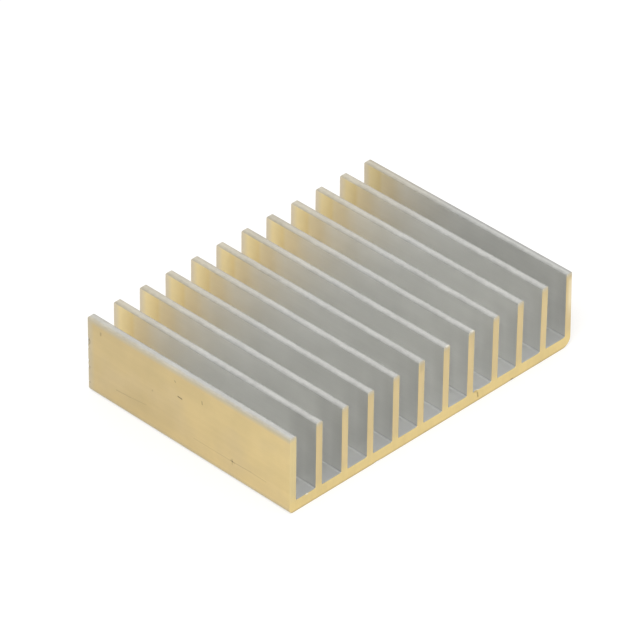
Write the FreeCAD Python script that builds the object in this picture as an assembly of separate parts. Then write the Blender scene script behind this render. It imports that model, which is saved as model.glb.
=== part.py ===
import FreeCAD, Part
import collections
import math
import os

# A heat sink sawn from one aluminium extrusion: a flat base that carries a comb of straight fins.
# The origin is the middle of the underside. X runs across the fins, Y along them and Z up.

# Driving sizes, in millimetres
overall_width = 70.4  # across the base, from outer face to outer face
overall_length = 50.0  # along the fins, from saw cut to saw cut
overall_height = 16.0  # from the underside to the fin tips
base_thickness = 2.3  # from the underside to the channel floors
fin_count = 12
fin_thickness = 1.5  # of every fin but the last
last_fin_foot = 1.45  # thickness of the last fin, on the +X side, where it meets the base
last_fin_lean = 0.35  # how far its outer face comes inwards on the way up to the tip
last_flank_lean = 0.3  # how far its inner flank does, so that this fin leans and gets a little thinner
root_radius = 0.3  # between each channel floor and the fins on both sides
tip_radius = 0.35  # along the long edges of the fin tips
last_tip_radius = 0.15  # along the outer edge of the last fin's tip alone
first_foot_radius = 0.8  # along the outer edge of the underside, below the first fin
last_foot_radius = 2.0  # along its other outer edge, below the last fin

# Worked out from the driving sizes
half_width = overall_width / 2
half_length = overall_length / 2
last_tip_width = last_fin_foot + last_flank_lean - last_fin_lean
fin_pitch = (overall_width - last_fin_lean - last_tip_width) / (fin_count - 1)
lean_start = base_thickness + root_radius

# A corner of the section and the radius that rounds it
Corner = collections.namedtuple("Corner", "x z radius")


def tip_corners(left, right, right_radius=tip_radius):
    """The two corners of one fin tip, from right to left."""
    return [Corner(right, overall_height, right_radius), Corner(left, overall_height, tip_radius)]


def floor_corners(left, right):
    """The two corners of one channel floor, from right to left."""
    return [Corner(right, base_thickness, root_radius), Corner(left, base_thickness, root_radius)]


def section_corners():
    """All corners of the section: along the underside, then back over the fins, from the last to the first."""
    last_tip_right = half_width - last_fin_lean
    corners = [
        Corner(-half_width, 0.0, first_foot_radius),
        Corner(half_width, 0.0, last_foot_radius),
        Corner(half_width, lean_start, 0.0),
    ]
    corners += tip_corners(last_tip_right - last_tip_width, last_tip_right, last_tip_radius)
    next_foot = half_width - last_fin_foot
    for fin in reversed(range(fin_count - 1)):
        left = -half_width + fin * fin_pitch
        corners += floor_corners(left + fin_thickness, next_foot)
        corners += tip_corners(left, left + fin_thickness)
        next_foot = left
    return corners


def corner_arc(before, point, after, radius):
    """Start, middle and end of the arc that rounds a corner between its two neighbours."""
    to_before = (before - point).normalize()
    to_after = (after - point).normalize()
    to_centre = (to_before + to_after).normalize()
    half_angle = to_before.getAngle(to_after) / 2
    inset = radius / math.tan(half_angle)
    depth = radius / math.sin(half_angle) - radius
    return point + to_before * inset, point + to_centre * depth, point + to_after * inset


def section_wire():
    """The closed outline of the section, in the plane of the front saw cut."""
    corners = section_corners()
    points = [FreeCAD.Vector(corner.x, -half_length, corner.z) for corner in corners]
    befores = points[-1:] + points[:-1]
    afters = points[1:] + points[:1]
    radii = [corner.radius for corner in corners]
    arcs = [corner_arc(*ends) for ends in zip(befores, points, afters, radii)]
    edges = []
    for radius, arc, next_arc in zip(radii, arcs, arcs[1:] + arcs[:1]):
        if radius > 0:
            edges.append(Part.Arc(*arc).toShape())
        edges.append(Part.makeLine(arc[-1], next_arc[0]))
    return Part.Wire(edges)


def make_heat_sink():
    """The whole heat sink: its section, extruded from one saw cut to the other."""
    return Part.Face(section_wire()).extrude(FreeCAD.Vector(0, overall_length, 0))


os.makedirs("parts", exist_ok=True)
make_heat_sink().exportStep("parts/heat_sink.step")
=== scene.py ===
import math

import bpy
import bmesh
from mathutils import Matrix, Vector, noise
from mathutils.geometry import delaunay_2d_cdt


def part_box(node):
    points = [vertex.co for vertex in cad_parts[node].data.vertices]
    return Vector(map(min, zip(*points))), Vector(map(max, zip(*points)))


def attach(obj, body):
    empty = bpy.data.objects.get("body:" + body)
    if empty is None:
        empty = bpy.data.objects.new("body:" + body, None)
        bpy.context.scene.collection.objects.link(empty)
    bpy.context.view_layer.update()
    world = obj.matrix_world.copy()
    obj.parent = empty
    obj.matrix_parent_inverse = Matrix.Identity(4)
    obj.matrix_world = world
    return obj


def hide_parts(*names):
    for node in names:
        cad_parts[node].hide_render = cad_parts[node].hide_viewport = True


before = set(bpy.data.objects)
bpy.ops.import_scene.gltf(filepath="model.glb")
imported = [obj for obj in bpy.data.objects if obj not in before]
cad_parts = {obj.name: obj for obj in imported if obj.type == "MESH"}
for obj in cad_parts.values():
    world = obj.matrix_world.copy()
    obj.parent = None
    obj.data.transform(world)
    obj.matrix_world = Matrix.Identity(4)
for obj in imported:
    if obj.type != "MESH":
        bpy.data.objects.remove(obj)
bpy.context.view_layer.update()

# The heat sink is drawn again in the place of its imported solid, in millimetres, with rounded saw-cut edges
# and its marks: dents, nicks and scratches, with painted highlights and painted shade among them.
# The overall sizes come from the imported solid, and the section's are repeated here.
# X runs across the fins, Y along them and Z up. The fins are counted from 1 on the -X side.
MM = 0.001
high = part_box("heat_sink")[1]
HALF_WIDTH = high.x / MM
HALF_LENGTH = high.y / MM
HEIGHT = high.z / MM
BASE = 2.3  # from the underside to the channel floors
FINS = 12
FIN = 1.5  # thickness of every fin but the last
LAST_FOOT = 1.45  # thickness of the last fin where it meets the base
LEAN = 0.35  # how far its outer face comes inwards on the way up
LAST_FLANK_LEAN = 0.3  # how far its inner flank does
LAST_TIP = LAST_FOOT + LAST_FLANK_LEAN - LEAN
ROOT_RADIUS = 0.3
TIP_RADIUS = 0.35
LAST_TIP_RADIUS = 0.15  # along the outer edge of the last tip
FIRST_FOOT_RADIUS = 0.8
LAST_FOOT_RADIUS = 2.0
PITCH = (2 * HALF_WIDTH - LEAN - LAST_TIP) / (FINS - 1)
ARRIS = 0.09  # radius of the worn edges round both saw cuts
ARRIS_STEPS = 3
BURR = 0.035  # how far the saw cuts' outline wanders inwards
BURR_WAVES = 1.7  # how many times a millimetre it does

# How finely the mesh is divided: in millimetres along the section, in steps round each arc, and along Y
STEP = {"outer": 1.2, "side": 0.3, "tip": 0.3, "channel": 1.2, "floor": 0.16}
ARC_STEPS = {
    TIP_RADIUS: 6,
    LAST_TIP_RADIUS: 4,
    ROOT_RADIUS: 6,
    FIRST_FOOT_RADIUS: 8,
    LAST_FOOT_RADIUS: 10,
}
END_STATIONS = (0.18, 0.3, 0.45, 0.7, 1.1, 1.8, 3.0)  # in from the arris of each saw cut
MIDDLE_STATION = 2.75  # between the sections further in
CAP_SPACING = 0.45  # between the points inside a saw cut
CAP_FIN_SHARES = (0.34, 0.66)  # where they are across a fin
CAP_BASE_SHARES = (0.25, 0.5, 0.75)  # and up the base
CAP_MARGIN = 0.2  # and how far they stay off its outline
MARK_MARGIN = 0.12  # which the points round a mark may come nearer to
SIDE_SPACING = 0.9  # between the points on the outer face of the first fin
MARK_SHARES = (0.4, 0.8, 1.2)  # where points follow a mark, in half widths out from its line
MARK_STEP = 1.5  # and how far apart they are along it, in half widths
INSIDE_ONLY = 1  # asks delaunay_2d_cdt for the triangles inside the ring alone
MERGE_DISTANCE = 1e-5
KEY_DIGITS = 4  # points that agree to this many digits are one
TINY = 1e-9

# The material of each kind of face
SLOT = {"outer": 0, "side": 0, "channel": 1, "floor": 1, "tip": 2, "cut": 3}


def fin_left(fin):
    """X of the left flank of a fin, counted from 1 on the -X side."""
    return -HALF_WIDTH + (fin - 1) * PITCH


def section_corners():
    """Corners of the section, anticlockwise as seen from the front.

    Each is (x, z, radius, kind of the straight that follows).
    """
    corners = [
        (-HALF_WIDTH, 0.0, FIRST_FOOT_RADIUS, "outer"),
        (HALF_WIDTH, 0.0, LAST_FOOT_RADIUS, "outer"),
        (HALF_WIDTH, BASE + ROOT_RADIUS, 0.0, "outer"),
        (HALF_WIDTH - LEAN, HEIGHT, LAST_TIP_RADIUS, "tip"),
        (HALF_WIDTH - LEAN - LAST_TIP, HEIGHT, TIP_RADIUS, "channel"),
        (HALF_WIDTH - LAST_FOOT, BASE, ROOT_RADIUS, "floor"),
    ]
    for fin in range(FINS - 1, 0, -1):
        left = fin_left(fin)
        corners.append((left + FIN, BASE, ROOT_RADIUS, "channel"))
        corners.append((left + FIN, HEIGHT, TIP_RADIUS, "tip"))
        if fin > 1:
            corners.append((left, HEIGHT, TIP_RADIUS, "channel"))
            corners.append((left, BASE, ROOT_RADIUS, "floor"))
        else:
            corners.append((left, HEIGHT, TIP_RADIUS, "side"))
    return corners


def arc_kind(z):
    """The kind of the faces round a corner at this height."""
    if z == HEIGHT:
        return "tip"
    return "channel" if z else "outer"


def section_outline():
    """The section as a closed list of (point, outward normal, kind of the faces up to the next point)."""
    corners = section_corners()
    points = [Vector(corner[:2]) for corner in corners]
    rounded = []
    for i, (_, _, radius, _) in enumerate(corners):
        back = (points[i - 1] - points[i]).normalized()
        on = (points[(i + 1) % len(points)] - points[i]).normalized()
        inset = radius / math.tan(back.angle(on) / 2)
        rounded.append((points[i] + back * inset, points[i] + on * inset, back, on))
    outline = []
    for i, (_, z, radius, kind) in enumerate(corners):
        start, end, back, on = rounded[i]
        first = Vector((-back.y, back.x))
        last = Vector((on.y, -on.x))
        turn = -first.angle_signed(last)
        reach = radius if turn > 0 else -radius
        centre = start - first * reach
        steps = ARC_STEPS.get(radius, 0)
        for step in range(steps):
            normal = first.copy()
            normal.rotate(Matrix.Rotation(turn * step / steps, 2))
            outline.append((centre + normal * reach, normal, arc_kind(z)))
        stop = rounded[(i + 1) % len(corners)][0]
        parts = max(1, round((stop - end).length / STEP[kind]))
        for part in range(parts):
            outline.append((end.lerp(stop, part / parts), last, kind))
    return outline


def stations():
    """Along Y from cut to cut, each section's place and how far it lies inside the outline."""
    angles = [math.radians(90 * step / ARRIS_STEPS) for step in range(ARRIS_STEPS + 1)]
    arris = [(ARRIS * (1 - math.cos(a)), ARRIS * (1 - math.sin(a))) for a in angles]
    ends = arris + [(ARRIS + offset, 0.0) for offset in END_STATIONS]
    reach = HALF_LENGTH - ends[-1][0]
    parts = round(2 * reach / MIDDLE_STATION)
    middle = [(-reach + 2 * reach * part / parts, 0.0) for part in range(1, parts)]
    front = [(-HALF_LENGTH + depth, inset) for depth, inset in ends]
    back = [(HALF_LENGTH - depth, inset) for depth, inset in reversed(ends)]
    return front + middle + back


# Marks on the metal, each as (start, end, half width, push, tone). The points near its line are pushed by
# push, and the metal there is darker by tone, or brighter where tone is below 0. Most are dents, nicks and
# scratches;
# the bright ones are painted highlights, and the faint dark stretches along the front's lower edge are
# painted shade.
MARKS = []


def side_mark(start, end, half_width, depth, tone):
    """A mark on the outer face of the first fin, its ends as (y, z)."""
    MARKS.append(((-HALF_WIDTH, *start), (-HALF_WIDTH, *end), half_width, (depth, 0, 0), tone))


def front_mark(start, end, half_width, depth, tone, lift=0.0):
    """A mark on the front saw cut, its ends as (x, z)."""
    first = (start[0], -HALF_LENGTH, start[1])
    last = (end[0], -HALF_LENGTH, end[1])
    MARKS.append((first, last, half_width, (0, depth, lift), tone))


side_mark((21.66, 13.95), (21.7, 13.5), 0.3, 0.05, 0.4)
side_mark((3.15, 13.45), (2.95, 13.3), 0.2, 0.04, 0.5)
side_mark((8.72, 8.55), (8.75, 8.35), 0.2, 0.03, 0.3)
side_mark((2.35, 10.52), (1.4, 10.46), 0.2, 0.07, 0.9)
side_mark((-3.55, 12.55), (-3.65, 12.0), 0.2, 0.05, 0.5)
side_mark((-10.95, 4.2), (-10.98, 3.2), 0.22, 0.04, 0.3)
side_mark((-10.6, 3.8), (-11.5, 3.65), 0.22, 0.04, 0.3)
side_mark((5.5, 4.8), (15.0, 4.2), 3.6, 0.0, 0.05)
side_mark((-3.5, 13.6), (2.0, 13.2), 2.8, 0.0, 0.06)
side_mark((-17.0, 13.8), (-12.0, 13.9), 1.8, 0.0, 0.04)
side_mark((17.9, 3.73), (14.4, 4.0), 0.13, 0.02, 0.3)
side_mark((14.4, 4.0), (10.3, 4.5), 0.12, 0.015, 0.2)
side_mark((-1.5, 3.65), (-10.9, 3.72), 0.12, 0.015, 0.2)
side_mark((-10.9, 3.72), (-15.5, 3.93), 0.13, 0.02, 0.3)
side_mark((-15.5, 3.93), (-19.2, 3.8), 0.12, 0.015, 0.25)
front_mark((11.19, 1.85), (11.38, 0.8), 0.22, 0.22, 0.65)
front_mark((10.7, 2.3), (11.15, 2.25), 0.4, 0.3, 0.35, -0.12)
# Burrs at the edges of two channel floors, raised a little, with painted highlights
front_mark((-31.2, 2.25), (-31.0, 2.25), 0.3, 0.0, -0.9, 0.16)
front_mark((1.5, 2.3), (1.6, 2.3), 0.22, 0.0, -0.5, 0.08)
# Chips at the lower edge of the front saw cut
front_mark((-14.2, 0.0), (-14.0, 0.0), 0.3, 0.1, 0.5, 0.08)
front_mark((19.9, 0.15), (20.2, 0.15), 0.35, 0.04, 0.75, 0.03)
# Faint darker stretches along the lower edge of the front saw cut: more of its painted shade, broken up
front_mark((-2.5, 0.0), (2.5, 0.0), 0.5, 0.0, 0.15)
front_mark((9.0, 0.0), (13.0, 0.0), 0.5, 0.0, 0.08)
front_mark((27.0, 0.0), (28.5, 0.0), 0.5, 0.0, 0.12)
front_mark((-18.5, 0.0), (-13.5, 0.0), 0.5, 0.0, 0.08)
# Small chamfers at the front corners of two tips, with painted highlights
front_mark((3.0, 16.0), (3.25, 16.0), 0.42, 0.22, -0.8, -0.14)
front_mark((9.2, 16.0), (9.5, 16.0), 0.42, 0.22, -0.8, -0.14)
# A darker smudge high on the front saw cut
front_mark((-3.3, 15.3), (-3.3, 14.2), 0.8, 0.0, 0.12)

# Nicks down the back edge of the first fin
NICK_PUSH = (0.05, -0.05, 0)
for nick_z, nick_size, nick_tone in (
    (11.1, 0.5, 1.0),
    (10.3, 0.42, 0.8),
    (9.3, 0.3, 0.3),
    (6.5, 0.42, 0.9),
    (5.2, 0.4, 0.7),
    (2.0, 0.35, 0.7),
):
    corner = (-HALF_WIDTH, HALF_LENGTH, nick_z)
    MARKS.append((corner, corner, nick_size, NICK_PUSH, nick_tone))

# The back end of every tip is worn a little rounder
TIP_WEAR_OFFSETS = (0.1, FIN - 0.3)
TIP_WEAR_WIDTH = 0.5
TIP_WEAR_PUSH = (0, -0.1, -0.14)
for fin_number in range(1, FINS + 1):
    tip_left = fin_left(fin_number)
    ends_of_tip = [(tip_left + offset, HALF_LENGTH, HEIGHT) for offset in TIP_WEAR_OFFSETS]
    MARKS.append((*ends_of_tip, TIP_WEAR_WIDTH, TIP_WEAR_PUSH, 0.0))


def away_from(point, start, end):
    """Distance from a point to the straight from start to end."""
    line = end - start
    share = (point - start).dot(line) / max(line.length_squared, TINY)
    return (point - start - line * min(1.0, max(0.0, share))).length


def points_round(start, end, half_width):
    """Points that follow a mark closely, on a flat face, for a mesh that is fine enough there."""
    line = end - start
    on = line.normalized() if line.length > TINY else Vector((1.0, 0.0))
    across = Vector((-on.y, on.x))
    parts = max(1, round(line.length / (MARK_STEP * half_width)))
    middle = [start.lerp(end, part / parts) for part in range(parts + 1)]
    ends = [start - on * half_width * share for share in reversed(MARK_SHARES)]
    ends += [end + on * half_width * share for share in MARK_SHARES]
    shares = [-share for share in reversed(MARK_SHARES)] + [0.0] + list(MARK_SHARES)
    return [point + across * half_width * share for point in ends + middle for share in shares]


def fill(ring, inner):
    """Triangles that fill a closed ring of 2-D points, with extra points inside: (points, triangles)."""
    loop = list(range(len(ring)))
    edges = list(zip(loop, loop[1:] + loop[:1]))
    made = delaunay_2d_cdt(ring + inner, edges, [loop], INSIDE_ONLY, MERGE_DISTANCE)
    return made[0], made[2]


def inside_cap(point, margin):
    """True for a point of the saw cut that lies in the metal, clear of its outline by the margin."""
    x, z = point
    if not (-HALF_WIDTH + margin < x < HALF_WIDTH - LEAN - margin and margin < z < HEIGHT - margin):
        return False
    if z < BASE - margin:
        near_foot = min(x + HALF_WIDTH, HALF_WIDTH - x) < LAST_FOOT_RADIUS
        return not near_foot or z > FIRST_FOOT_RADIUS
    offset = (x + HALF_WIDTH) % PITCH
    return margin < offset < FIN - margin


def cap_points():
    """Points inside a saw cut: a plain grid in the base and in each fin."""
    found = []
    rows = round(HEIGHT / CAP_SPACING)
    for fin in range(1, FINS + 1):
        for row in range(1, rows):
            for share in CAP_FIN_SHARES:
                found.append(Vector((fin_left(fin) + FIN * share, HEIGHT * row / rows)))
    columns = round(2 * HALF_WIDTH / CAP_SPACING)
    for column in range(1, columns):
        for share in CAP_BASE_SHARES:
            found.append(Vector((-HALF_WIDTH + 2 * HALF_WIDTH * column / columns, BASE * share)))
    return [point for point in found if inside_cap(point, CAP_MARGIN)]


def side_points():
    """Points on the outer face of the first fin: a plain grid and the marks."""
    found = []
    rows = round(HEIGHT / SIDE_SPACING)
    columns = round(2 * HALF_LENGTH / SIDE_SPACING)
    for column in range(1, columns):
        for row in range(1, rows):
            y = -HALF_LENGTH + 2 * HALF_LENGTH * (column + 0.5 * (row % 2)) / columns
            found.append(Vector((y, HEIGHT * row / rows)))
    for start, end, half_width, push, _ in MARKS:
        if push[1] == 0 and push[0] > 0:
            found += points_round(Vector(start[1:]), Vector(end[1:]), half_width)
    y_limit = HALF_LENGTH - 2 * ARRIS
    z_low, z_high = FIRST_FOOT_RADIUS + ARRIS, HEIGHT - TIP_RADIUS - ARRIS
    return [point for point in found if abs(point.x) < y_limit and z_low < point.y < z_high]


def section_rings(outline, places):
    """The outline's points at every place along Y, drawn in round both saw cuts."""
    rings = []
    for y, inset in places:
        edge = min(1.0, inset / ARRIS)
        ring = []
        for point, normal, _ in outline:
            wander = noise.noise(Vector((point.x * BURR_WAVES, y, point.y * BURR_WAVES)))
            at = point - normal * (inset + BURR * edge * (0.5 + 0.5 * wander))
            ring.append(Vector((at.x, y, at.y)))
        rings.append(ring)
    return rings


def long_faces(outline, rings, flat):
    """The faces that run from cut to cut, but for the first fin's outer face between the stations in flat."""
    faces = []
    last = len(rings) - 1
    for j in range(last):
        for i, (_, _, kind) in enumerate(outline):
            if kind == "side" and flat[0] <= j < flat[-1]:
                continue
            if j < ARRIS_STEPS or j >= last - ARRIS_STEPS:
                kind = "cut"
            k = (i + 1) % len(outline)
            faces.append(((rings[j][i], rings[j + 1][i], rings[j + 1][k], rings[j][k]), kind))
    return faces


def cut_faces(rings):
    """The faces of both saw cuts, finer round the marks on the front one."""
    inner = cap_points()
    marked = []
    for start, end, half_width, _, _ in MARKS:
        if start[1] == -HALF_LENGTH:
            ends = [Vector((x, z)) for x, _, z in (start, end)]
            marked += points_round(*ends, half_width)
    front_inner = inner + [point for point in marked if inside_cap(point, MARK_MARGIN)]
    faces = []
    for ring, points in ((rings[0], front_inner), (rings[-1], inner)):
        y = ring[0].y
        made, triangles = fill([Vector((p.x, p.z)) for p in ring], points)
        for triangle in triangles:
            faces.append((tuple(Vector((made[v].x, y, made[v].y)) for v in triangle), "cut"))
    return faces


def side_faces(outline, rings):
    """The faces of the first fin's outer face between the given rings, finer round its marks."""
    side = [i for i, (_, _, kind) in enumerate(outline) if kind == "side"]
    top, bottom = side[0], (side[-1] + 1) % len(outline)
    border = [Vector((ring[top].y, ring[top].z)) for ring in rings]
    border += [Vector((rings[-1][i].y, rings[-1][i].z)) for i in side[1:]]
    border += [Vector((ring[bottom].y, ring[bottom].z)) for ring in reversed(rings)]
    border += [Vector((rings[0][i].y, rings[0][i].z)) for i in reversed(side[1:])]
    made, triangles = fill(border, side_points())
    faces = []
    for triangle in triangles:
        faces.append((tuple(Vector((-HALF_WIDTH, made[v].x, made[v].y)) for v in triangle), "side"))
    return faces


def heat_sink_faces():
    """All faces as (corner points, kind)."""
    outline = section_outline()
    places = stations()
    rings = section_rings(outline, places)
    flat = [j for j, (_, inset) in enumerate(places) if inset < TINY]
    faces = long_faces(outline, rings, flat) + cut_faces(rings)
    return faces + side_faces(outline, rings[flat[0]:flat[-1] + 1])


def add_marks(mesh):
    """Pushes the points near each mark, and writes how dark or bright the mark is there."""
    marks = [(Vector(s), Vector(e), width, Vector(push), tone) for s, e, width, push, tone in MARKS]
    tones = []
    for vertex in mesh.vertices:
        point = vertex.co.copy()
        tone_here = 0.0
        for start, end, width, push, tone in marks:
            away = away_from(point, start, end) / width
            if away < 1:
                share = 1 - away * away * (3 - 2 * away)
                vertex.co += push * share
                tone_here += tone * share
        tones.append(tone_here)
    attribute = mesh.attributes.new("wear_and_painted_light", "FLOAT", "POINT")
    attribute.data.foreach_set("value", tones)


def make_heat_sink():
    """The whole heat sink as one closed mesh."""
    work = bmesh.new()
    known = {}
    for corners, kind in heat_sink_faces():
        vertices = []
        for corner in corners:
            key = tuple(round(value, KEY_DIGITS) for value in corner)
            if key not in known:
                known[key] = work.verts.new(corner)
            if known[key] not in vertices:
                vertices.append(known[key])
        if len(vertices) < 3:
            continue
        face = work.faces.new(vertices)
        face.material_index = SLOT[kind]
        face.smooth = True
    bmesh.ops.recalc_face_normals(work, faces=work.faces)
    mesh = bpy.data.meshes.new("finned_extrusion")
    work.to_mesh(mesh)
    open_edges = sum(1 for edge in work.edges if len(edge.link_faces) != 2)
    print("heat sink:", len(work.verts), "points,", len(work.faces), "faces,", open_edges, "open edges")
    work.free()
    add_marks(mesh)
    mesh.transform(Matrix.Scale(MM, 4))
    piece = bpy.data.objects.new("finned_extrusion", mesh)
    bpy.context.scene.collection.objects.link(piece)
    normals = piece.modifiers.new("even_normals", "WEIGHTED_NORMAL")
    normals.keep_sharp = True
    return piece


def linear(red, green, blue):
    """A colour given as it shows on screen, from 0 to 255, as the shader takes it."""
    shares = [value / 255 for value in (red, green, blue)]
    return tuple(s / 12.92 if s < 0.04045 else ((s + 0.055) / 1.055) ** 2.4 for s in shares)


class Nodes:
    """A material's node tree, with one short call for each kind of node it uses."""

    def __init__(self, name):
        self.material = bpy.data.materials.new(name)
        self.material.use_nodes = True
        self.tree = self.material.node_tree
        self.shader = self.tree.nodes["Principled BSDF"]

    def link(self, output, socket):
        if isinstance(output, (int, float)):
            socket.default_value = output
        elif isinstance(output, tuple):
            socket.default_value = (*output, 1.0) if len(output) == 3 and socket.type == "RGBA" else output
        else:
            self.tree.links.new(output, socket)

    def new(self, kind, **settings):
        node = self.tree.nodes.new(kind)
        for name, value in settings.items():
            setattr(node, name, value)
        return node

    def place(self):
        """The place on the piece, in millimetres."""
        return self.scaled(self.new("ShaderNodeTexCoord").outputs["Object"], 1 / MM)

    def stretched(self, vector, scale):
        node = self.new("ShaderNodeVectorMath", operation="MULTIPLY")
        self.link(vector, node.inputs[0])
        node.inputs[1].default_value = scale
        return node.outputs[0]

    def noise(self, vector, scale, detail=2.0, rough=0.5):
        node = self.new("ShaderNodeTexNoise")
        self.link(vector, node.inputs["Vector"])
        node.inputs["Scale"].default_value = scale
        node.inputs["Detail"].default_value = detail
        node.inputs["Roughness"].default_value = rough
        return node.outputs["Fac"]

    def math(self, operation, first, second=0.0, clamp=False):
        node = self.new("ShaderNodeMath", operation=operation, use_clamp=clamp)
        self.link(first, node.inputs[0])
        self.link(second, node.inputs[1])
        return node.outputs[0]

    def spread(self, value, low, high, to_low=0.0, to_high=1.0):
        """A value that goes from to_low to to_high while the given one goes from low to high."""
        node = self.new("ShaderNodeMapRange")
        for given, socket in zip((value, low, high, to_low, to_high), node.inputs):
            self.link(given, socket)
        return node.outputs[0]

    def ramp(self, value, stops):
        """A value that runs from stop to stop, each given as (place, value)."""
        reach = stops[-1][0]
        node = self.new("ShaderNodeValToRGB")
        self.link(self.math("DIVIDE", value, reach), node.inputs[0])
        elements = node.color_ramp.elements
        while len(elements) < len(stops):
            elements.new(0.5)
        for element, (at, level) in zip(elements, stops):
            element.position = at / reach
            element.color = (level, level, level, 1.0)
        return node.outputs[0]

    def mix(self, share, first, second):
        """A colour that is the first at share 0 and the second at share 1."""
        node = self.new("ShaderNodeMix", data_type="RGBA")
        self.link(share, node.inputs[0])
        self.link(first, node.inputs[6])
        self.link(second, node.inputs[7])
        return node.outputs[2]

    def scaled(self, vector, factor):
        node = self.new("ShaderNodeVectorMath", operation="SCALE")
        self.link(vector, node.inputs[0])
        self.link(factor, node.inputs["Scale"])
        return node.outputs[0]

    def bump(self, height, distance):
        node = self.new("ShaderNodeBump")
        node.inputs["Strength"].default_value = 1.0
        node.inputs["Distance"].default_value = distance
        self.link(height, node.inputs["Height"])
        return node.outputs[0]


# The silvers of the channels, low and high on their walls, at their front mouths, and on fillets and floors.
# They are painted light and shade: lighter low on the walls, painted light that offsets the shade deep in the
# channels, and darker with painted shade at the front mouths, on the fillets and on the floors.
LOW_SILVER = linear(249, 249, 246)
TOP_SILVER = linear(235, 235, 232)
FRONT_TOP_SILVER = linear(223, 223, 219)
MOUTH_SILVER = linear(216, 216, 211)
LOW_MOUTH_SILVER = linear(214, 214, 210)
INNER_MOUTH_SILVER = linear(240, 240, 237)
MOUTH_FILLET_SILVER = linear(190, 191, 190)
FILLET_SILVER = linear(226, 227, 225)
MOUTH_FLOOR_SILVER = linear(209, 210, 210)
FLOOR_SILVER = linear(216, 217, 216)

# The tips: along their middle and their edges, and where the saw cuts reach them. The edges are darker with
# painted shade, and warm with painted warm light on the outer side of the first fin.
TIP_SILVER = linear(201, 201, 197)
TIP_EDGE = linear(173, 173, 169)
OUTER_TIP_EDGE = linear(197, 190, 172)
LAST_TIP_EDGE = linear(160, 160, 158)
CAP_SILVER = linear(197, 191, 175)

# The golds, painted warm light on the silver metal: of the outer faces, of the channels' back ends and of the
# saw cuts
GOLD = linear(219, 197, 143)
BACK_GOLD = linear(204, 183, 135)
ROSY_GOLD = linear(203, 184, 145)
GREYER_GOLD = linear(193, 185, 164)
# Painted shade along the foot of the outer faces and on the underside
FOOT_SHADE_GOLD = linear(184, 173, 145)
END_GOLD = linear(234, 214, 155)
FAR_END_GOLD = linear(221, 202, 145)
GREYER_END_GOLD = linear(210, 197, 170)
FIN_END_GOLD = linear(217, 196, 148)
BASE_END_GOLD = linear(228, 206, 146)
FIRST_END_GOLD = linear(222, 204, 152)
TOP_END_GOLD = linear(211, 192, 147)
# A painted highlight on the end of the last fin
END_HIGHLIGHT_GOLD = linear(236, 221, 184)
# Painted shade along the lower edge of the saw cuts
LOWER_EDGE_SHADE = linear(176, 156, 108)

# The marks: dark for dents, nicks, scratches and painted shade, and a painted highlight for the bright ones
DARK_MARK_AND_SHADE = linear(92, 80, 62)
PAINTED_HIGHLIGHT = linear(240, 238, 228)

METALLIC = 0.85
USUAL_NOISE = (0.3, 0.7)  # most noise lies between these

# How often the grain changes in a millimetre along X, Y and Z: it is long along Y where the metal was drawn
# through a die, long along Z where it was sawn, and short on the tips
DRAWN = (9.0, 0.12, 9.0)
SAWN = (6.0, 6.0, 0.5)
WORN = (3.0, 1.1, 3.0)
BROADER = 7  # the broad grain is this many times as long and wide
FACE_CLOUDS = 0.11  # how often clouds of another tone change in a millimetre, on the outer faces
METAL_CLOUDS = 0.16  # and on all the metal
TIP_WAVES = (0.4, 0.5, 0.4)  # and how often the edges of the tips' light middle do
RELIEF = 0.004  # depth of the grain, in millimetres

# The stretches over which one tone turns into the next, in millimetres. These run along Y, to the back.
FACE_TURN = (-24.0, 11.0)
FACE_GREYING = (23.3, 24.7)
TOP_TURN = (-22.0, 0.0)
MOUTH_TURN = (-24.8, -22.1)
INNER_TURN = (-20.5, -18.0)
FILLET_TURN = (-24.5, -20.3)
FLOOR_TURN = (-24.5, -22.5)
END_GREYING = (23.3, 24.6)
TIP_TURN = (2.0, 24.0)

# These run across the fins, from left to right
GOLD_SLANT = (-30.0, 33.0)
FAR_TURN = (8.0, 33.0)
LEFT_SHADE = (-22.0, 0.0)
MIDDLE_SHADE = (-2.0, 10.0)
RIGHT_SHADE = (22.0, 33.4)
FIRST_CHANNEL = (FIN - HALF_WIDTH, PITCH - HALF_WIDTH)
LAST_TIP_RIM = (HALF_WIDTH - LEAN - 0.6, HALF_WIDTH - LEAN - 0.1)
LAST_END_HALF = (HALF_WIDTH - 1.4, HALF_WIDTH - 0.7)
TIP_RIM = (0.2, 0.68)  # out from the middle of each tip

# And these run upwards
FACE_FOOT = (0.1, 1.3)
FACE_TOP = (HEIGHT - 1.3, HEIGHT - TIP_RADIUS)
WALL_RISE = (10.0, HEIGHT)
MOUTH_RISE = (10.0, 13.5)
FILLET_RISE = (BASE + 0.2, BASE + 0.4)
FLOOR_RISE = (BASE, BASE + 0.04)
WALL_FOOT = (BASE, BASE + 0.4)
TIP_RISE = (HEIGHT - TIP_RADIUS, HEIGHT - 0.5 * TIP_RADIUS)
END_RISE = (12.5, 15.0)
BASE_RISE = (BASE - 0.3, BASE + 1.5)
CAP_RISE = (HEIGHT - 0.9, HEIGHT - 0.1)
PALE_RISE = (6.0, 9.5)
PALE_STOP = (14.2, 15.2)
LOWER_EDGE_RISE = (0.0, 0.5)

# How much of the painted warm light the channels have, turning them gold, by millimetres in from the back saw
# cut
GOLD_SHARES = ((0.0, 0.88), (4.3, 0.88), (5.1, 0.62), (7.6, 0.4), (9.3, 0.13), (11.0, 0.0), (12.0, 0.0))


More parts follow.
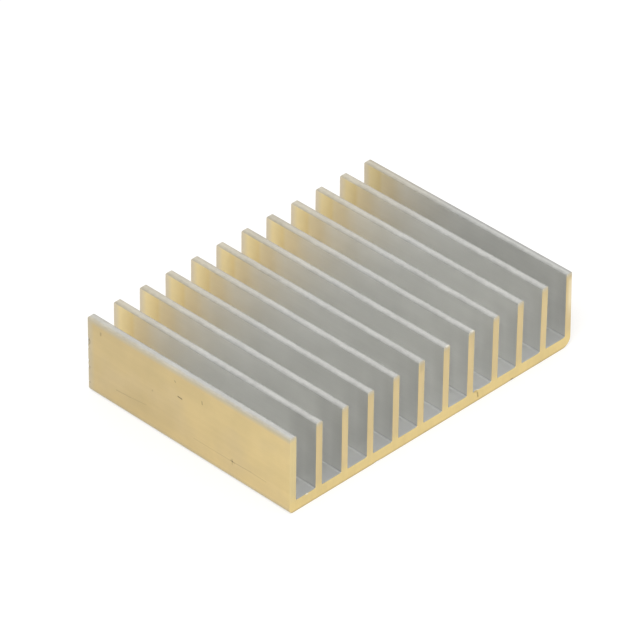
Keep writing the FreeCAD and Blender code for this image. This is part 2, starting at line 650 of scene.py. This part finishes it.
def outer_colour(nodes, place, across, along, up):
    """Pale gold of painted warm light, deeper towards the back, greyer at the top and the back, with painted
    shade along the foot.
    """
    gold = nodes.mix(nodes.spread(along, *FACE_TURN), GOLD, BACK_GOLD)
    cloud = nodes.noise(place, FACE_CLOUDS)
    gold = nodes.mix(nodes.spread(cloud, 0.45, 0.7, 0.0, 0.45), gold, ROSY_GOLD)
    # Painted shade along the foot and on the underside
    gold = nodes.mix(nodes.spread(up, *FACE_FOOT, 0.8, 0.0), gold, FOOT_SHADE_GOLD)
    gold = nodes.mix(nodes.spread(along, *FACE_GREYING, 0.0, 0.7), gold, GREYER_GOLD)
    return nodes.mix(nodes.spread(up, *FACE_TOP, 0.0, 0.9), gold, GREYER_GOLD)


def channel_shade(nodes, across, along, up):
    """How light the channels are beside one another, as painted shade: dark mouths on the left, and a dark
    last channel.
    """
    outwards = nodes.spread(along, *INNER_TURN, 1.0, 0.0)
    at_mouth = nodes.math("MULTIPLY", outwards, nodes.spread(up, *WALL_FOOT))
    left = nodes.math("MULTIPLY", nodes.spread(across, *LEFT_SHADE, 0.075, 0.0), at_mouth)
    middle = nodes.math("SUBTRACT", nodes.spread(across, *MIDDLE_SHADE, 1.0, 1.015), left)
    return nodes.math("MULTIPLY", middle, nodes.spread(across, *RIGHT_SHADE, 1.0, 0.94))


def channel_colour(nodes, place, across, along, up):
    """Silver with painted shade at the front mouth and on the floors, turned gold by painted warm light
    towards the back saw cut.
    """
    low = nodes.mix(nodes.spread(along, *INNER_TURN), INNER_MOUTH_SILVER, LOW_SILVER)
    top = nodes.mix(nodes.spread(along, *TOP_TURN), FRONT_TOP_SILVER, TOP_SILVER)
    silver = nodes.mix(nodes.spread(up, *WALL_RISE), low, top)
    mouth = nodes.mix(nodes.spread(up, *MOUTH_RISE), LOW_MOUTH_SILVER, MOUTH_SILVER)
    silver = nodes.mix(nodes.spread(along, *MOUTH_TURN), mouth, silver)
    fillet = nodes.mix(nodes.spread(along, *FILLET_TURN), MOUTH_FILLET_SILVER, FILLET_SILVER)
    silver = nodes.mix(nodes.spread(up, *FILLET_RISE), fillet, silver)
    floor = nodes.mix(nodes.spread(along, *FLOOR_TURN), MOUTH_FLOOR_SILVER, FLOOR_SILVER)
    silver = nodes.mix(nodes.spread(up, *FLOOR_RISE), floor, silver)
    gold = nodes.mix(nodes.spread(across, *FAR_TURN), END_GOLD, FAR_END_GOLD)
    gold = nodes.mix(nodes.spread(along, *END_GREYING), gold, GREYER_END_GOLD)
    inwards = nodes.math("SUBTRACT", HALF_LENGTH, along)
    inwards = nodes.math("ADD", inwards, nodes.spread(across, *GOLD_SLANT, -0.4, 0.4))
    tinted = nodes.mix(nodes.ramp(inwards, GOLD_SHARES), silver, gold)
    return nodes.scaled(tinted, channel_shade(nodes, across, along, up))


def tip_colour(nodes, place, across, along, up):
    """Light silver along the middle of each tip, with painted shade at its edges and painted warm light
    towards the back saw cut.
    """
    wave = nodes.noise(nodes.stretched(place, TIP_WAVES), 1.0, 3.0, 0.6)
    across_fin = nodes.math("MODULO", nodes.math("ADD", across, HALF_WIDTH), PITCH)
    across_fin = nodes.math("ADD", across_fin, nodes.spread(wave, *USUAL_NOISE, -0.15, 0.15))
    off_middle = nodes.math("ABSOLUTE", nodes.math("SUBTRACT", across_fin, FIN / 2))
    outer = nodes.math("GREATER_THAN", nodes.math("ABSOLUTE", across), HALF_WIDTH - LEAN - TIP_RADIUS)
    edge = nodes.mix(outer, TIP_EDGE, OUTER_TIP_EDGE)
    silver = nodes.mix(nodes.spread(off_middle, *TIP_RIM), TIP_SILVER, edge)
    silver = nodes.mix(nodes.spread(across, *LAST_TIP_RIM), silver, LAST_TIP_EDGE)
    less_on_first = nodes.spread(across, *FIRST_CHANNEL, 0.4, 1.0)
    warm = nodes.math("MULTIPLY", nodes.spread(along, *TIP_TURN, 0.0, 0.3), less_on_first)
    silver = nodes.mix(warm, silver, GOLD)
    flank = nodes.mix(outer, channel_colour(nodes, place, across, along, up), GREYER_GOLD)
    return nodes.mix(nodes.spread(up, *TIP_RISE), flank, silver)


def sawn_colour(nodes, place, across, along, up):
    """Pale gold of painted warm light, brighter on the base and both end fins, greyer at the tips, with
    painted shade along the lower edge.
    """
    gold = nodes.mix(nodes.spread(up, *END_RISE), FIN_END_GOLD, TOP_END_GOLD)
    gold = nodes.mix(nodes.spread(across, *FIRST_CHANNEL), FIRST_END_GOLD, gold)
    gold = nodes.mix(nodes.spread(up, *BASE_RISE), BASE_END_GOLD, gold)
    gold = nodes.mix(nodes.spread(up, *CAP_RISE, 0.0, 0.9), gold, CAP_SILVER)
    # A painted highlight on the outer half of the last fin's end
    pale = nodes.math("MULTIPLY", nodes.spread(across, *LAST_END_HALF), nodes.spread(up, *PALE_RISE))
    pale = nodes.math("MULTIPLY", pale, nodes.spread(up, *PALE_STOP, 1.0, 0.0))
    gold = nodes.mix(pale, gold, END_HIGHLIGHT_GOLD)
    # Painted shade along the lower edge
    return nodes.mix(nodes.spread(up, *LOWER_EDGE_RISE, 0.8, 0.0), gold, LOWER_EDGE_SHADE)


def metal(name, colour_of, lines, roughness, clouds, streaks):
    """Satin aluminium.

    lines stretches its grain along the way it was drawn or sawn.
    clouds and streaks say how much these shade it.
    """
    nodes = Nodes(name)
    place = nodes.place()
    parts = nodes.new("ShaderNodeSeparateXYZ")
    nodes.link(place, parts.inputs[0])
    base = colour_of(nodes, place, *parts.outputs)
    grain = nodes.noise(nodes.stretched(place, lines), 1.0, 4.0, 0.6)
    broad = nodes.noise(nodes.stretched(place, tuple(value / BROADER for value in lines)), 1.0)
    cloud = nodes.noise(place, METAL_CLOUDS, 3.0, 0.55)
    shade = nodes.spread(cloud, *USUAL_NOISE, 1 - clouds, 1 + clouds)
    shade = nodes.math("ADD", shade, nodes.spread(grain, *USUAL_NOISE, -streaks, streaks))
    broad_shade = nodes.spread(broad, *USUAL_NOISE, -0.8 * streaks, 0.8 * streaks)
    shade = nodes.math("ADD", shade, broad_shade)
    # The marks: dents, nicks and scratches, with painted highlights where they are bright and painted shade
    # along the front's lower edge
    wear_and_painted_light = nodes.new("ShaderNodeAttribute", attribute_name="wear_and_painted_light").outputs["Fac"]
    dark = nodes.math("MULTIPLY", wear_and_painted_light, 1.0, clamp=True)
    bright = nodes.math("MULTIPLY", wear_and_painted_light, -1.0, clamp=True)
    with_marks = nodes.mix(bright, nodes.mix(dark, nodes.scaled(base, shade), DARK_MARK_AND_SHADE), PAINTED_HIGHLIGHT)
    nodes.link(with_marks, nodes.shader.inputs["Base Color"])
    nodes.shader.inputs["Metallic"].default_value = METALLIC
    rough = nodes.spread(grain, 0.25, 0.75, roughness - 0.06, roughness + 0.06)
    rough = nodes.math("ADD", rough, nodes.spread(cloud, *USUAL_NOISE, -0.02, 0.03))
    nodes.link(rough, nodes.shader.inputs["Roughness"])
    nodes.link(nodes.bump(nodes.math("ADD", grain, broad), RELIEF * MM), nodes.shader.inputs["Normal"])
    return nodes.material


piece = make_heat_sink()
for material in (
    metal("outer_gold", outer_colour, DRAWN, roughness=0.42, clouds=0.045, streaks=0.022),
    metal("channel_silver", channel_colour, DRAWN, roughness=0.52, clouds=0.02, streaks=0.014),
    metal("tip_silver", tip_colour, WORN, roughness=0.42, clouds=0.02, streaks=0.075),
    metal("sawn_gold", sawn_colour, SAWN, roughness=0.45, clouds=0.04, streaks=0.025),
):
    piece.data.materials.append(material)
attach(piece, "root")
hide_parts("heat_sink")


def soft_light(name, place, size, watts):
    """A square area lamp that looks at the heat sink."""
    data = bpy.data.lights.new(name, "AREA")
    data.shape = "SQUARE"
    data.size = size
    data.energy = watts
    lamp = bpy.data.objects.new(name, data)
    bpy.context.scene.collection.objects.link(lamp)
    lamp.location = place
    aim = Vector((0, 0, HEIGHT / 2 * MM)) - Vector(place)
    lamp.rotation_euler = aim.to_track_quat("-Z", "Y").to_euler()


def seen_white(nodes):
    """1 for the rays that see or mirror the background, and 0 for the light that falls on things."""
    path = nodes.new("ShaderNodeLightPath")
    seen = path.outputs["Is Camera Ray"]
    for ray in ("Is Glossy Ray", "Is Transmission Ray"):
        either = nodes.new("ShaderNodeMath")
        either.operation = "MAXIMUM"
        either.id_data.links.new(seen, either.inputs[0])
        either.id_data.links.new(path.outputs[ray], either.inputs[1])
        seen = either.outputs[0]
    return seen


def white_world(ambient):
    """A plain white surrounding that gives soft light from all round."""
    world = bpy.data.worlds.new("studio")
    world.use_nodes = True
    bpy.context.scene.world = world
    nodes = world.node_tree.nodes
    level = nodes.new("ShaderNodeMapRange")
    world.node_tree.links.new(seen_white(nodes), level.inputs[0])
    level.inputs["To Min"].default_value = ambient
    level.inputs["To Max"].default_value = 1.0
    background = nodes["Background"]
    background.inputs["Color"].default_value = (1, 1, 1, 1)
    world.node_tree.links.new(level.outputs[0], background.inputs["Strength"])


def pale_floor(reach, shade, glow):
    """A wide plain floor that keeps a soft shadow and shows as white."""
    mesh = bpy.data.meshes.new("floor")
    corners = [(-reach, -reach, 0), (reach, -reach, 0), (reach, reach, 0), (-reach, reach, 0)]
    mesh.from_pydata(corners, [], [(0, 1, 2, 3)])
    floor = bpy.data.objects.new("floor", mesh)
    bpy.context.scene.collection.objects.link(floor)
    material = bpy.data.materials.new("floor")
    material.use_nodes = True
    nodes = material.node_tree.nodes
    shader = nodes["Principled BSDF"]
    shader.inputs["Base Color"].default_value = (shade, shade, shade, 1)
    shader.inputs["Roughness"].default_value = 1.0
    shader.inputs["Specular IOR Level"].default_value = 0.0
    shader.inputs["Emission Color"].default_value = (1, 1, 1, 1)
    level = nodes.new("ShaderNodeMath")
    level.operation = "MULTIPLY"
    material.node_tree.links.new(seen_white(nodes), level.inputs[0])
    level.inputs[1].default_value = glow
    material.node_tree.links.new(level.outputs[0], shader.inputs["Emission Strength"])
    mesh.materials.append(material)


white_world(ambient=0.8)
pale_floor(reach=6.0, shade=0.5, glow=0.55)
soft_light("key", place=(-0.5, -0.35, 0.9), size=0.5, watts=4.0)

# The camera stands where the photograph's edges put it, with the same small roll
CAMERA_PLACE = Vector((-530.54, -517.15, 542.81)) * MM
CAMERA_RIGHT = Vector((0.70502, -0.70912, 0.00987))
CAMERA_UP = Vector((0.40830, 0.41724, 0.81191))
CAMERA_LENS = 292.31
SENSOR_WIDTH = 36.0
NEAREST, FARTHEST = 0.01, 50.0  # what it sees, in metres

camera_data = bpy.data.cameras.new("camera")
camera_data.sensor_width = SENSOR_WIDTH
camera_data.lens = CAMERA_LENS
camera_data.clip_start = NEAREST
camera_data.clip_end = FARTHEST
camera = bpy.data.objects.new("camera", camera_data)
bpy.context.scene.collection.objects.link(camera)
right = CAMERA_RIGHT.normalized()
back = right.cross(CAMERA_UP).normalized()
up = back.cross(right)
turned = Matrix((right, up, back)).transposed().to_4x4()
camera.matrix_world = Matrix.Translation(CAMERA_PLACE) @ turned
bpy.context.scene.camera = camera
bpy.context.scene.view_settings.view_transform = "Standard"

bpy.context.view_layer.update()
